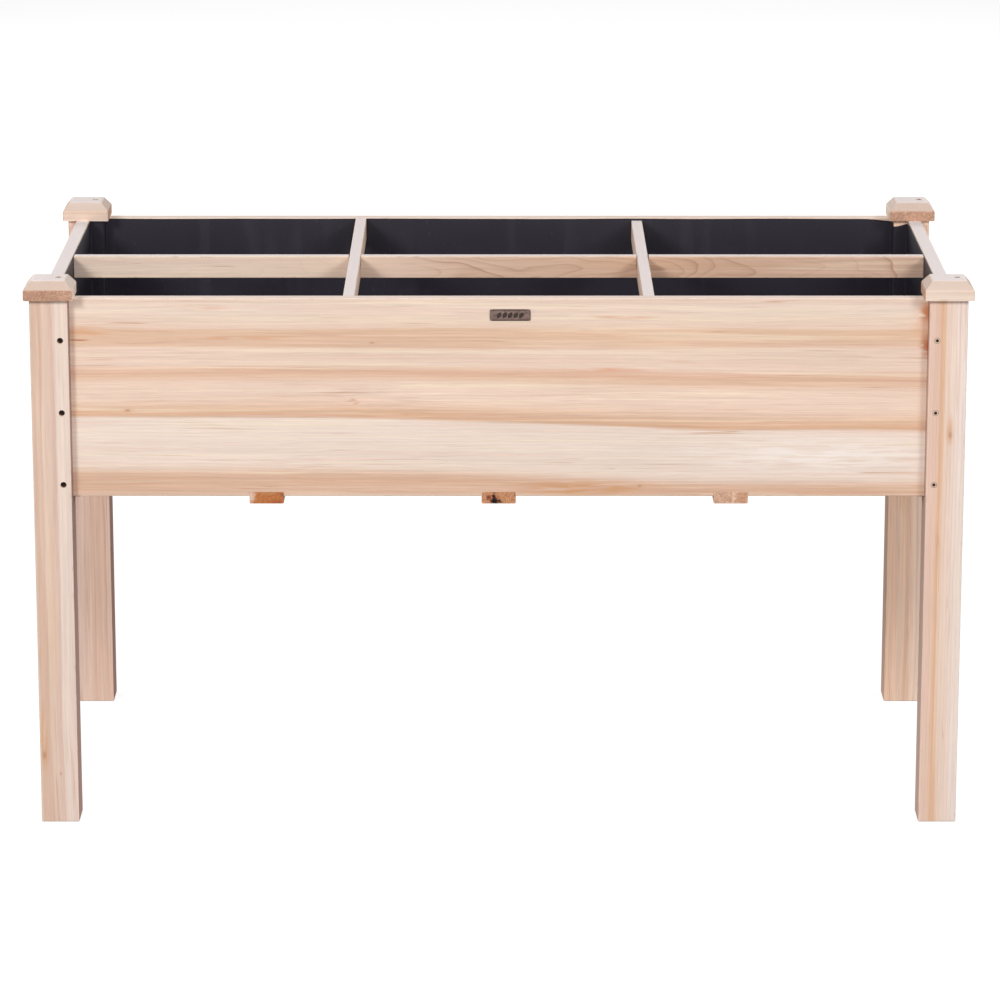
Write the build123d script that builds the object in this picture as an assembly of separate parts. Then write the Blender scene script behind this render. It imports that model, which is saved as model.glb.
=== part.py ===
from build123d import *
import os

# Raised planter on legs: a wooden trough held between four square legs.
# Millimetres. X runs along the trough, Y from the front (-) to the back (+), Z up.
# The origin is on the ground, under the middle of the trough.

# ---- driving dimensions ----------------------------------------------------
frame_length = 1219.0          # over the outer faces of the legs
frame_depth = 610.0            # over the outer faces of the legs
edge_round = 1.2               # sanded round on the long edges of the stock

leg_side = 50.0
leg_height = 710.0
foot_chamfer = 1.0

panel_height = 265.0
panel_thickness = 18.0
panel_setback = 12.0           # leg face to panel face
groove_depth = 16.0            # how far a panel's end goes into a leg

cap_side = 64.0
cap_edge_height = 13.5         # upright part of the cap's edge
cap_height = 25.5
cap_slope_inset = 10.0
cap_edge_round = 4.0           # where the upright edge turns into the slope
cap_top_round = 5.0            # where the slope turns into the flat top
cap_hip_round = 1.5            # on the four corners, from foot to top

batten_width = 45.0
batten_thickness = 15.5
batten_let_in = 5.5            # depth of the notches in the panels' lower edges
notch_play = 0.2               # each side of a batten in its notch

board_count = 6
board_width = 88.0
board_thickness = 12.0
board_play = 1.0               # between the boards and the trough's walls

liner_thickness = 1.0
liner_gap = 0.2                # between the liner and the wood
liner_below_rim = 0.7

divider_thickness = 15.0
divider_height = 30.0
divider_below_rim = 0.5
divider_end_play = 0.4         # between a divider's end and the liner
lap_play = 1.0                 # each side of a divider in a lap joint
lap_seat_gap = 0.2             # under a cross divider's lap, on the long divider
sunk_divider_drop = 1.7        # the right cross divider sits this much lower in its lap
sunk_divider_tilt = 0.35       # and its back end dips, in degrees

plate_length = 53.0
plate_height = 15.0
plate_thickness = 1.2
plate_corner = 2.0
plate_offset = 15.0            # to the right of the trough's middle
plate_drop = 22.0              # rim to the middle of the plate

head_radius = 3.9
head_depth = 2.6
shank_radius = 1.9
tip_length = 5.0
recess_length = 4.4
recess_width = 0.9
recess_depth = 1.4
hole_play = 0.15               # round every screw

leg_screw_length = 35.0
leg_screw_from_edge = 10.5     # leg's inner edge to the screw
leg_screw_lowest = 18.0        # above the panel's lower edge
leg_screw_pitch = 96.5
leg_screw_rows = 3
side_screw_raise = 24.0        # screws in a leg's outer side miss the ones in its face
deep_sink = 5.0                # left legs: heads at the bottom of deep holes
shallow_sink = 0.6             # right legs: heads just under the surface

cap_screw_length = 40.0
cap_screw_offset = 12.0
cap_screw_sink = 0.8
batten_screw_length = 35.0
batten_screw_sink = 0.5
end_screw_spacing = 200.0
divider_screw_length = 40.0
divider_screw_sink = 0.5

# ---- places that follow from them ------------------------------------------
half_length = frame_length / 2
half_depth = frame_depth / 2
leg_x = half_length - leg_side / 2
leg_y = half_depth - leg_side / 2
leg_inner_x = half_length - leg_side
leg_inner_y = half_depth - leg_side

panel_bottom = leg_height - panel_height
long_panel_y = half_depth - panel_setback - panel_thickness / 2
end_panel_x = half_length - panel_setback - panel_thickness / 2
inner_x = end_panel_x - panel_thickness / 2
inner_y = long_panel_y - panel_thickness / 2
long_panel_length = 2 * (leg_inner_x + groove_depth)
end_panel_length = 2 * (leg_inner_y + groove_depth)

batten_top = panel_bottom + batten_let_in
batten_z = batten_top - batten_thickness / 2
batten_length = 2 * (half_depth - panel_setback)
batten_spacing = frame_length / 4
batten_places = {"left_batten": -batten_spacing, "middle_batten": 0.0, "right_batten": batten_spacing}

board_top = batten_top + board_thickness
liner_top = leg_height - liner_below_rim

divider_top = leg_height - divider_below_rim
divider_z = divider_top - divider_height / 2
lap_floor = divider_z
cell_length = (2 * inner_x - 2 * divider_thickness) / 3
cross_divider_x = (cell_length + divider_thickness) / 2
wall_play = liner_gap + liner_thickness + divider_end_play

leg_screw_heights = [panel_bottom + leg_screw_lowest + row * leg_screw_pitch for row in range(leg_screw_rows)]
sides = {"left": -1, "right": 1}
faces = {"front": -1, "rear": 1}


def lumber(length_x, width_y, height_z, along):
    """A sawn and sanded piece of wood, its four long edges slightly rounded."""
    stock = Box(length_x, width_y, height_z)
    return fillet(stock.edges().filter_by(along), edge_round)


def screw(length, grow=0.0):
    """A countersunk wood screw: head flush with z = 0, shank running down."""
    outline = Polyline(
        (0, 0),
        (head_radius + grow, 0),
        (shank_radius + grow, -head_depth),
        (shank_radius + grow, tip_length - length),
        (0.3 + grow, -length - grow),
        (0, -length - grow),
        close=True,
    )
    return revolve(Plane.XZ * make_face(outline), Axis.Z)


def screw_with_recess(length):
    """The screw, with the cross recess that takes the driver."""
    slot = Box(recess_length, recess_width, 2 * recess_depth)
    return screw(length) - slot - slot.rotate(Axis.Z, 90)


def sunk_hole(length, sink):
    """Everything a screw and the counterbore above its head take out of the wood."""
    bore = Cylinder(head_radius + hole_play, sink + hole_play, align=(Align.CENTER, Align.CENTER, Align.MIN))
    return screw(length, hole_play) + bore


def write_node(name, shape):
    shape.label = name
    export_step(shape, "parts/" + name + ".step")


def cut_all(shape, holes):
    for hole in holes:
        shape = shape - hole
    return shape


def write_fasteners(name, places, length):
    write_node(name, Compound(children=[place * screw_with_recess(length) for place in places]))


os.makedirs("parts", exist_ok=True)

# ---- where every screw goes: z of a place points out of the wood ------------
out_of_face = {"front": (90, 0, 0), "rear": (-90, 0, 0)}
out_of_side = {"left": (0, -90, 0), "right": (0, 90, 0)}
upside_down = (180, 0, 0)
screw_x = leg_inner_x + leg_screw_from_edge
screw_y = leg_inner_y + leg_screw_from_edge
leg_sinks = {"left": deep_sink, "right": shallow_sink}

face_screws = {face: [] for face in faces}
side_screws = {side: [] for side in sides}
leg_holes = []
for side, x_sign in sides.items():
    sink = leg_sinks[side]
    hole = sunk_hole(leg_screw_length, sink)
    for face, y_sign in faces.items():
        for height in leg_screw_heights:
            front_point = (x_sign * screw_x, y_sign * (half_depth - sink), height)
            front_place = Location(front_point, out_of_face[face])
            face_screws[face].append(front_place)
            side_point = (x_sign * (half_length - sink), y_sign * screw_y, height + side_screw_raise)
            side_place = Location(side_point, out_of_side[side])
            side_screws[side].append(side_place)
            leg_holes.append(front_place * hole)
            leg_holes.append(side_place * hole)

cap_screws = []
for x_sign in sides.values():
    for y_sign in faces.values():
        cap_screw_x = x_sign * leg_x + cap_screw_offset
        cap_screw_z = leg_height + cap_height - cap_screw_sink
        cap_screws.append(Location((cap_screw_x, y_sign * leg_y, cap_screw_z)))
cap_holes = [place * sunk_hole(cap_screw_length, cap_screw_sink) for place in cap_screws]

screw_head_z = batten_top - batten_thickness + batten_screw_sink
batten_screws = []
for x in batten_places.values():
    for y_sign in faces.values():
        batten_screws.append(Location((x, y_sign * long_panel_y, screw_head_z), upside_down))
end_batten_screws = []
for x_sign in sides.values():
    for step in (-1, 0, 1):
        end_batten_screws.append(
            Location((x_sign * end_panel_x, step * end_screw_spacing, screw_head_z), upside_down))
batten_hole = sunk_hole(batten_screw_length, batten_screw_sink)
batten_holes = [place * batten_hole for place in batten_screws]
end_batten_holes = [place * batten_hole for place in end_batten_screws]

divider_screws = []
for side, x_sign in sides.items():
    outer_face_x = end_panel_x + panel_thickness / 2 - divider_screw_sink
    divider_screws.append(Location((x_sign * outer_face_x, 0, divider_z), out_of_side[side]))
divider_holes = [place * sunk_hole(divider_screw_length, divider_screw_sink) for place in divider_screws]

# ---- legs: square posts, two stopped grooves each, open at the top -----------
blank_leg = lumber(leg_side, leg_side, leg_height, Axis.Z)
blank_leg = chamfer(blank_leg.faces().sort_by(Axis.Z)[0].edges(), foot_chamfer)
long_groove = Box(groove_depth, panel_thickness, panel_height)
end_groove = Box(panel_thickness, groove_depth, panel_height)
groove_z = panel_bottom + panel_height / 2
for face, y_sign in faces.items():
    for side, x_sign in sides.items():
        leg = Pos(x_sign * leg_x, y_sign * leg_y, leg_height / 2) * blank_leg
        leg -= Pos(x_sign * (leg_inner_x + groove_depth / 2), y_sign * long_panel_y, groove_z) * long_groove
        leg -= Pos(x_sign * end_panel_x, y_sign * (leg_inner_y + groove_depth / 2), groove_z) * end_groove
        write_node(face + "_" + side + "_leg", cut_all(leg, leg_holes + cap_holes))

# ---- caps: low square blocks with four sloping sides ------------------------
half_cap = cap_side / 2
half_cap_flat = half_cap - cap_slope_inset
cap_outline = make_face(Polyline(
    (-half_cap, 0),
    (half_cap, 0),
    (half_cap, cap_edge_height),
    (half_cap_flat, cap_height),
    (-half_cap_flat, cap_height),
    (-half_cap, cap_edge_height),
    close=True))
cap_outline = fillet([v for v in cap_outline.vertices() if abs(v.Y - cap_edge_height) < 0.01], cap_edge_round)
cap_outline = fillet([v for v in cap_outline.vertices() if abs(v.Y - cap_height) < 0.01], cap_top_round)
cap_bar = extrude(Plane.XZ * cap_outline, half_cap, both=True)
blank_cap = cap_bar & (Rot(0, 0, 90) * cap_bar)
cap_hips = [e for e in blank_cap.edges() if abs(abs(e.center().X) - abs(e.center().Y)) < 0.01]
blank_cap = fillet(cap_hips, cap_hip_round)
for face, y_sign in faces.items():
    for side, x_sign in sides.items():
        cap = Pos(x_sign * leg_x, y_sign * leg_y, leg_height) * blank_cap
        write_node(face + "_" + side + "_cap", cut_all(cap, cap_holes))

# ---- long panels, notched underneath for the battens ------------------------
panel_z = panel_bottom + panel_height / 2
notch = Box(batten_width + 2 * notch_play, 2 * panel_thickness, 2 * batten_let_in)
for face, y_sign in faces.items():
    panel = lumber(long_panel_length, panel_thickness, panel_height, Axis.X)
    panel = Pos(0, y_sign * long_panel_y, panel_z) * panel
    notches = [Pos(x, y_sign * long_panel_y, panel_bottom) * notch for x in batten_places.values()]
    write_node(face + "_panel", cut_all(panel, notches + leg_holes + cap_holes + batten_holes))

# ---- end panels --------------------------------------------------------------
for side, x_sign in sides.items():
    panel = lumber(panel_thickness, end_panel_length, panel_height, Axis.Y)
    panel = Pos(x_sign * end_panel_x, 0, panel_z) * panel
    write_node(side + "_end_panel", cut_all(panel, leg_holes + cap_holes + end_batten_holes + divider_holes))

# ---- battens under the floor -------------------------------------------------
for name, x in batten_places.items():
    batten = Pos(x, 0, batten_z) * lumber(batten_width, batten_length, batten_thickness, Axis.Y)
    write_node(name, cut_all(batten, batten_holes))

# The end battens are rebated to hook under the end panels' lower edges.
end_batten_length = 2 * (leg_inner_y - notch_play)
end_batten_x = end_panel_x + panel_thickness / 2 - batten_width / 2
rebate = Box(panel_thickness + notch_play, end_batten_length, batten_let_in)
rebate_x = end_panel_x - notch_play / 2
for side, x_sign in sides.items():
    batten = lumber(batten_width, end_batten_length, batten_thickness, Axis.Y)
    batten = Pos(x_sign * end_batten_x, 0, batten_z) * batten
    batten -= Pos(x_sign * rebate_x, 0, batten_top - batten_let_in / 2) * rebate
    write_node(side + "_end_batten", cut_all(batten, end_batten_holes))

# ---- floor boards: loose slats with draining gaps; the outer two clear the legs
board_length = 2 * (inner_x - board_play)
board_span = 2 * (inner_y - board_play)
board_pitch = (board_span - board_width) / (board_count - 1)
board_z = batten_top + board_thickness / 2
corner_x = 2 * (inner_x - leg_inner_x + board_play)
corner_y = 2 * (inner_y - leg_inner_y + board_play)
corner = Box(corner_x, corner_y, 2 * board_thickness)
for index in range(board_count):
    y = index * board_pitch - (board_span - board_width) / 2
    board = Pos(0, y, board_z) * lumber(board_length, board_width, board_thickness, Axis.X)
    for x_sign in sides.values():
        for y_sign in faces.values():
            board -= Pos(x_sign * inner_x, y_sign * inner_y, board_z) * corner
    write_node("floor_board_" + str(index + 1), board)


# ---- liner: a thin open tray that follows the trough and the legs' corners ----
def trough_plan(inset):
    """The trough's inner outline, stepped in round the four legs."""
    trough = Rectangle(2 * (inner_x - inset), 2 * (inner_y - inset))
    step_x = inner_x - leg_inner_x
    step_y = inner_y - leg_inner_y
    for x_sign in sides.values():
        for y_sign in faces.values():
            step = Rectangle(2 * step_x, 2 * step_y)
            trough -= Pos(x_sign * (inner_x - inset), y_sign * (inner_y - inset)) * step
    return trough


liner_height = liner_top - board_top
liner = Pos(0, 0, board_top) * extrude(trough_plan(liner_gap), liner_height)
hollow = extrude(trough_plan(liner_gap + liner_thickness), liner_height)
liner -= Pos(0, 0, board_top + liner_thickness) * hollow
write_node("liner", cut_all(liner, divider_holes))

# ---- dividers: one long strip and two cross strips, half-lapped ---------------
lap = Box(divider_thickness + 2 * lap_play, divider_thickness + 2 * lap_play, divider_height)
long_divider_length = 2 * (inner_x - wall_play)
long_divider = Pos(0, 0, divider_z) * lumber(long_divider_length, divider_thickness, divider_height, Axis.X)
for x_sign in sides.values():
    long_divider -= Pos(x_sign * cross_divider_x, 0, lap_floor + divider_height / 2) * lap
write_node("long_divider", cut_all(long_divider, divider_holes))

cross_divider_length = 2 * (inner_y - wall_play)
cross_blank = lumber(divider_thickness, cross_divider_length, divider_height, Axis.Y)
seated_cross = cross_blank - Pos(0, 0, lap_seat_gap - divider_height / 2) * lap
write_node("left_cross_divider", Pos(-cross_divider_x, 0, divider_z) * seated_cross)

sunk_cross = cross_blank - Pos(0, 0, lap_seat_gap + sunk_divider_drop - divider_height / 2) * lap
sunk_cross = sunk_cross.rotate(Axis.X, -sunk_divider_tilt)
write_node("right_cross_divider", Pos(cross_divider_x, 0, divider_z - sunk_divider_drop) * sunk_cross)

# ---- name plate: a small blank plate on the front panel -----------------------
plate_y = -(half_depth - panel_setback)
plate = extrude(Plane.XZ * RectangleRounded(plate_length, plate_height, plate_corner), plate_thickness)
write_node("name_plate", Pos(plate_offset, plate_y, leg_height - plate_drop) * plate)

# ---- screws --------------------------------------------------------------------
write_fasteners("front_leg_screws", face_screws["front"], leg_screw_length)
write_fasteners("rear_leg_screws", face_screws["rear"], leg_screw_length)
write_fasteners("left_leg_side_screws", side_screws["left"], leg_screw_length)
write_fasteners("right_leg_side_screws", side_screws["right"], leg_screw_length)
write_fasteners("cap_screws", cap_screws, cap_screw_length)
write_fasteners("batten_screws", batten_screws, batten_screw_length)
write_fasteners("end_batten_screws", end_batten_screws, batten_screw_length)
write_fasteners("divider_screws", divider_screws, divider_screw_length)
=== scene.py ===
import math

import bmesh
import bpy
from mathutils import Euler, Matrix, Vector, noise


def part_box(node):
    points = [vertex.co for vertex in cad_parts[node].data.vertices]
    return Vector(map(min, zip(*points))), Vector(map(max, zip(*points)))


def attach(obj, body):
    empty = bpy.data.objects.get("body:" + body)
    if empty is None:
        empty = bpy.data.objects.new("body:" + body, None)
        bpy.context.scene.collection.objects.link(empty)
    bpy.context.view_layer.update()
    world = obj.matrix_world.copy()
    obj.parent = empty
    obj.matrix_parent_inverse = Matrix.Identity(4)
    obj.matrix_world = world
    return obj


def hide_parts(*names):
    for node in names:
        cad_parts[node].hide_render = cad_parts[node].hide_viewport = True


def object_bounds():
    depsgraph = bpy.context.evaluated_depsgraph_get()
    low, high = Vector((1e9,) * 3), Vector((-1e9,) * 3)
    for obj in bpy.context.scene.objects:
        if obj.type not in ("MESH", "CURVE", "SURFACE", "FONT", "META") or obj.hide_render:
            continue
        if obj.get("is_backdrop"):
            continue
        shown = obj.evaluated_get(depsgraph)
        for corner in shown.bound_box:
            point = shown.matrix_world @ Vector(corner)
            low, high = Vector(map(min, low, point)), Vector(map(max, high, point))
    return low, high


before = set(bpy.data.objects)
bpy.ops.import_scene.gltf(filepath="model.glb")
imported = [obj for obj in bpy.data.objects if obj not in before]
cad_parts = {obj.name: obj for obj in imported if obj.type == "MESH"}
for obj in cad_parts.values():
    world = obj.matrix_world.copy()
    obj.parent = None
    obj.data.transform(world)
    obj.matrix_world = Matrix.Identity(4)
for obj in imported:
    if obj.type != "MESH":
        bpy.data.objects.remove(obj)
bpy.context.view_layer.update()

scene = bpy.context.scene

# ---------------------------------------------------------------------------
# Legs. Square posts of bare sanded fir, sawn along the trunk, so the growth
# rings run down their faces as straight lines and show as arcs on their feet.
# ---------------------------------------------------------------------------


def tone(red, green, blue):
    """A paint-chip colour, 0 to 255, as the linear colour that a shader takes."""
    linear = []
    for part in (red, green, blue):
        share = part / 255
        linear.append(share / 12.92 if share <= 0.04045 else ((share + 0.055) / 1.055) ** 2.4)
    return (*linear, 1.0)


class Finish:
    """A material, with short calls for the few kinds of node that the finishes here use."""

    def __init__(self, name):
        self.material = bpy.data.materials.new(name)
        self.material.use_nodes = True
        self.tree = self.material.node_tree
        self.shader = self.tree.nodes["Principled BSDF"]

    def feed(self, socket, value):
        if isinstance(value, bpy.types.NodeSocket):
            self.tree.links.new(value, socket)
        elif socket.type == "VALUE":
            socket.default_value = value
        else:
            socket.default_value = value[: len(socket.default_value)]

    def node(self, kind, **settings):
        made = self.tree.nodes.new(kind)
        for key, value in settings.items():
            setattr(made, key, value)
        return made

    def place(self):
        """Where the shaded point lies on the object, in metres."""
        return self.node("ShaderNodeTexCoord").outputs["Object"]

    def facing(self):
        """Which way the object's surface faces there."""
        return self.node("ShaderNodeTexCoord").outputs["Normal"]

    def turned(self, vector, turn, shift, scale=(1, 1, 1)):
        made = self.node("ShaderNodeMapping")
        self.feed(made.inputs["Vector"], vector)
        self.feed(made.inputs["Rotation"], turn)
        self.feed(made.inputs["Location"], shift)
        self.feed(made.inputs["Scale"], scale)
        return made.outputs[0]

    def vector(self, operation, a, b=(0, 0, 0), c=(0, 0, 0)):
        made = self.node("ShaderNodeVectorMath", operation=operation)
        for socket, value in zip(made.inputs, (a, b, c)):
            self.feed(socket, value)
        return made.outputs["Value" if operation == "LENGTH" else "Vector"]

    def math(self, operation, a, b=0.0, c=0.0, clamp=False):
        made = self.node("ShaderNodeMath", operation=operation, use_clamp=clamp)
        for socket, value in zip(made.inputs, (a, b, c)):
            self.feed(socket, value)
        return made.outputs[0]

    def split(self, vector):
        made = self.node("ShaderNodeSeparateXYZ")
        self.feed(made.inputs[0], vector)
        return made.outputs

    def noise(self, vector, stretch, detail=2.0, output="Fac"):
        """Noise whose grains are 1 / stretch metres long on each axis."""
        made = self.node("ShaderNodeTexNoise")
        self.feed(made.inputs["Vector"], self.vector("MULTIPLY", vector, stretch))
        made.inputs["Scale"].default_value = 1.0
        made.inputs["Detail"].default_value = detail
        return made.outputs[output]

    def line_noise(self, value, grains_per_metre, shift=0.0):
        """Noise along one measure only."""
        made = self.node("ShaderNodeTexNoise", noise_dimensions="1D")
        self.feed(made.inputs["W"], self.math("MULTIPLY_ADD", value, grains_per_metre, shift))
        made.inputs["Scale"].default_value = 1.0
        made.inputs["Detail"].default_value = 1.0
        return made.outputs["Fac"]

    def between(self, value, low, high, smooth=True):
        """0 below low, 1 above high."""
        made = self.node("ShaderNodeMapRange", interpolation_type="SMOOTHSTEP" if smooth else "LINEAR")
        self.feed(made.inputs["Value"], value)
        made.inputs["From Min"].default_value = low
        made.inputs["From Max"].default_value = high
        return made.outputs[0]

    def ramp(self, value, stops):
        """Stops are (place, colour or grey)."""
        made = self.node("ShaderNodeValToRGB")
        elements = made.color_ramp.elements
        for index, (at, colour) in enumerate(stops):
            element = elements[index] if index < 2 else elements.new(at)
            element.position = at
            element.color = colour if hasattr(colour, "__len__") else (colour, colour, colour, 1)
        self.feed(made.inputs["Fac"], value)
        return made.outputs["Color"]

    def mix(self, share, a, b, blend="MIX"):
        made = self.node("ShaderNodeMix", data_type="RGBA", blend_type=blend)
        self.feed(made.inputs[0], share)
        self.feed(made.inputs[6], a)
        self.feed(made.inputs[7], b)
        return made.outputs[2]

    def finish(self, colour, roughness, height, depth):
        """Colour, roughness and a bump of that depth in metres."""
        bump = self.node("ShaderNodeBump")
        self.feed(bump.inputs["Height"], height)
        bump.inputs["Strength"].default_value = 1.0
        bump.inputs["Distance"].default_value = depth
        self.tree.links.new(bump.outputs[0], self.shader.inputs["Normal"])
        self.feed(self.shader.inputs["Base Color"], colour)
        self.feed(self.shader.inputs["Roughness"], roughness)
        return self.material


# Turns that lay a board's length along local Z, by the axis it runs along.
grain_turns = {"X": (0, -math.pi / 2, 0), "Y": (math.pi / 2, 0, 0), "Z": (0, 0, 0)}
grain_index = {"X": 0, "Y": 1, "Z": 2}


def fir(name, node_name, grain, heart, ring_gap, tones, seed, bands=None, band_way=(1, 0, 0), lean=None,
        taper=0.0, swirl=0.003, figure=(0.36, 0.08), figured_from=None, knots=(), blushes=(), joint=None,
        top_sheen=0.35, slope_shade=None, calm=None, inner_face_shade=None, end_tones=None, end_marks=()):
    """Bare sanded fir for one piece. The growth rings are cylinders, or cones with a taper, round the
    tree's heart, which lies heart = (x, y) metres from the piece's middle, across the grain, so every
    face shows the figure that a saw would lay bare. tones are early wood, late wood, a warm band, a
    resin streak, and the cream and the pink that sapwood wavers between. bands run down the piece,
    measured along band_way and bent by lean. figure is how strongly late wood shows, most and least.
    top_sheen is how much of a paler tone upward faces get, as a painted sheen of light from above,
    slope_shade is the colour of painted shade that sloping faces get, inner_face_shade is the painted shade
    on a post's inner face, and calm is the part of the bands with the least strand. knots, blushes, joint
    and end_marks are placed in metres from the piece's middle."""
    low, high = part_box(node_name)
    middle, half = (low + high) / 2, (high - low) / 2
    turn = Euler(grain_turns[grain]).to_matrix()
    half_across = Vector([abs(v) for v in turn @ half])
    f = Finish(name)
    normal = f.facing()
    wood = f.turned(f.place(), grain_turns[grain], -(turn @ middle))
    away = (seed * 1.7, seed * 2.3, seed * 3.1)

    # The trunk wasn't straight: the rings wander slowly, and a little quickly.
    bent = wood
    for wander_reach, stretch, detail in ((0.024, (6, 6, 1.0), 2.0), (0.003, (60, 60, 6), 1.0)):
        wander = f.noise(f.vector("ADD", wood, away), stretch, detail, "Color")
        sway = f.vector("SUBTRACT", wander, (0.5, 0.5, 0.5))
        bent = f.vector("MULTIPLY_ADD", sway, (wander_reach, wander_reach, 0), bent)
    grown = f.vector("ADD", bent, away)
    bent_parts = f.split(bent)
    across_x = bent_parts[0]
    along = bent_parts[2]
    from_heart = f.vector("SUBTRACT", bent, (heart[0], heart[1], 0))
    radius = f.vector("LENGTH", f.vector("MULTIPLY", from_heart, (1, 1, 0)))
    if taper:
        curl = f.math("SUBTRACT", f.noise(grown, (26, 26, 9.5), 1.0), 0.5)
        radius = f.math("MULTIPLY_ADD", along, taper, f.math("MULTIPLY_ADD", curl, swirl, radius))

    # One ring: pale early wood that darkens to a narrow late-wood line.
    ring_count = f.math("ADD", f.math("MULTIPLY", radius, 1 / ring_gap), f.line_noise(radius, 35.0, seed))
    phase = f.math("FRACT", ring_count)
    ring = f.ramp(phase, [(0.0, 0.0), (0.5, 0.06), (0.80, 0.40), (0.92, 1.0), (1.0, 0.0)])
    ring_weight = f.between(f.line_noise(radius, 75.0, seed + 5), 0.3, 0.75)

    # Colour: sapwood wavering between cream and pink, or broad bands down the whole board.
    if bands:
        ripple_reach = 0.010
        ripple = f.math("SUBTRACT", f.noise(grown, (40, 40, 2.2), 2.0), 0.5)
        measured = f.node("ShaderNodeVectorMath", operation="DOT_PRODUCT")
        f.feed(measured.inputs[0], wood)
        f.feed(measured.inputs[1], band_way)
        breadth = 2 * abs(Vector(band_way).dot(half_across))
        share = f.math("MULTIPLY_ADD", measured.outputs["Value"], 1 / breadth, 0.5)
        share = f.math("MULTIPLY_ADD", ripple, ripple_reach / breadth, share)
        if lean:
            share = lean(f, along, share)
        colour = f.ramp(share, bands)
    else:
        colour = tones["early"]
        warm = f.between(f.noise(grown, (34, 34, 1.1), 2.0), 0.44, 0.66)
        colour = f.mix(f.math("MULTIPLY", warm, 0.70), colour, tones["band"])
    waver = f.noise(grown, (150, 150, 1.7), 3.0)
    colour = f.mix(f.math("MULTIPLY", f.between(waver, 0.50, 0.70), 0.50), colour, tones["cream"])
    colour = f.mix(f.math("MULTIPLY", f.between(waver, 0.50, 0.30), 0.42), colour, tones["pink"])

    most, least = figure
    if figured_from is not None:
        fade = 0.06
        figured = f.between(along, figured_from - fade, figured_from + fade)
        ring_weight = f.math("MULTIPLY", ring_weight, figured)
    late = f.math("MULTIPLY", ring, f.math("MULTIPLY_ADD", ring_weight, most - least, least))
    colour = f.mix(late, colour, tones["late"])

    # Fine brown lines where one year's growth ends sharply, broken along their length.
    contour = f.noise(grown, (170, 170, 1.5), 1.0)
    line = f.between(f.math("ABSOLUTE", f.math("SUBTRACT", contour, 0.5)), 0.016, 0.0)
    broken = f.between(f.noise(grown, (45, 45, 6.0), 2.0), 0.53, 0.64)
    colour = f.mix(f.math("MULTIPLY", f.math("MULTIPLY", line, broken), 0.50), colour, tones["streak"])
    streak = f.between(f.noise(grown, (380, 380, 7.0), 2.0), 0.63, 0.76)
    colour = f.mix(f.math("MULTIPLY", streak, 0.32), colour, tones["streak"])

    # The fibres themselves, and a slow change in tone along the board.
    strand = f.noise(grown, (330, 330, 4.0), 3.0)
    stranded = f.math("MULTIPLY_ADD", f.between(f.noise(grown, (24, 24, 1.3), 1.0), 0.40, 0.62), 0.70, 0.30)
    if calm:
        # Sapwood between these two shares of the breadth is plainer than the rest.
        plain = f.math("MULTIPLY", f.between(share, calm[0] - 0.02, calm[0] + 0.02),
                       f.between(share, calm[1] + 0.02, calm[1] - 0.02))
        stranded = f.math("MULTIPLY", stranded, f.math("MULTIPLY_ADD", plain, -0.45, 1.0))
    colour = f.mix(stranded, colour, f.ramp(strand, [(0.30, 0.90), (0.70, 1.09)]), "MULTIPLY")
    fibre = f.noise(grown, (1100, 1100, 26), 2.0)
    colour = f.mix(1.0, colour, f.ramp(fibre, [(0.25, 0.94), (0.75, 1.06)]), "MULTIPLY")
    cloud = f.noise(grown, (11, 11, 3.0), 2.0)
    colour = f.mix(1.0, colour, f.ramp(cloud, [(0.3, 0.98), (0.7, 1.04)]), "MULTIPLY")

    # Blushes, where resin or heartwood shows through, and knots with the grain swept round them.
    def oval(one, one_middle, one_size, other, other_middle, other_size):
        one_way = f.math("MULTIPLY", f.math("SUBTRACT", one, one_middle), 1 / one_size)
        other_way = f.math("MULTIPLY", f.math("SUBTRACT", other, other_middle), 1 / other_size)
        squares = f.math("MULTIPLY_ADD", one_way, one_way, f.math("MULTIPLY", other_way, other_way))
        return f.math("SQRT", squares)

    for across, length, width, run, stain, strength in blushes:
        patch = f.between(oval(across_x, across, width, along, length, run), 1.0, 0.1)
        # A long blush frays into strands, and a short one stays nearly whole.
        fray, whole_at = ((260, 260, 22), 0.62) if run > width * 1.5 else ((150, 150, 60), 0.50)
        ragged = f.between(f.noise(grown, fray, 3.0), 0.34, whole_at)
        colour = f.mix(f.math("MULTIPLY", f.math("MULTIPLY", patch, ragged), strength), colour, stain)
    knot_squash = 0.45
    for across, length, size in knots:
        distance = oval(across_x, across, size, along, length, size / knot_squash)
        knot_ring = f.math("FRACT", f.math("MULTIPLY", distance, 2.5))
        heart_of_knot = f.between(distance, 1.15, 0.15)
        colour = f.mix(f.math("MULTIPLY", heart_of_knot, 0.75), colour, tones["streak"])
        halo_rings = f.math("MULTIPLY_ADD", knot_ring, 0.3, 0.10)
        halo = f.math("MULTIPLY", f.between(distance, 2.6, 0.9), halo_rings)
        colour = f.mix(halo, colour, tones["late"])

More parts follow.
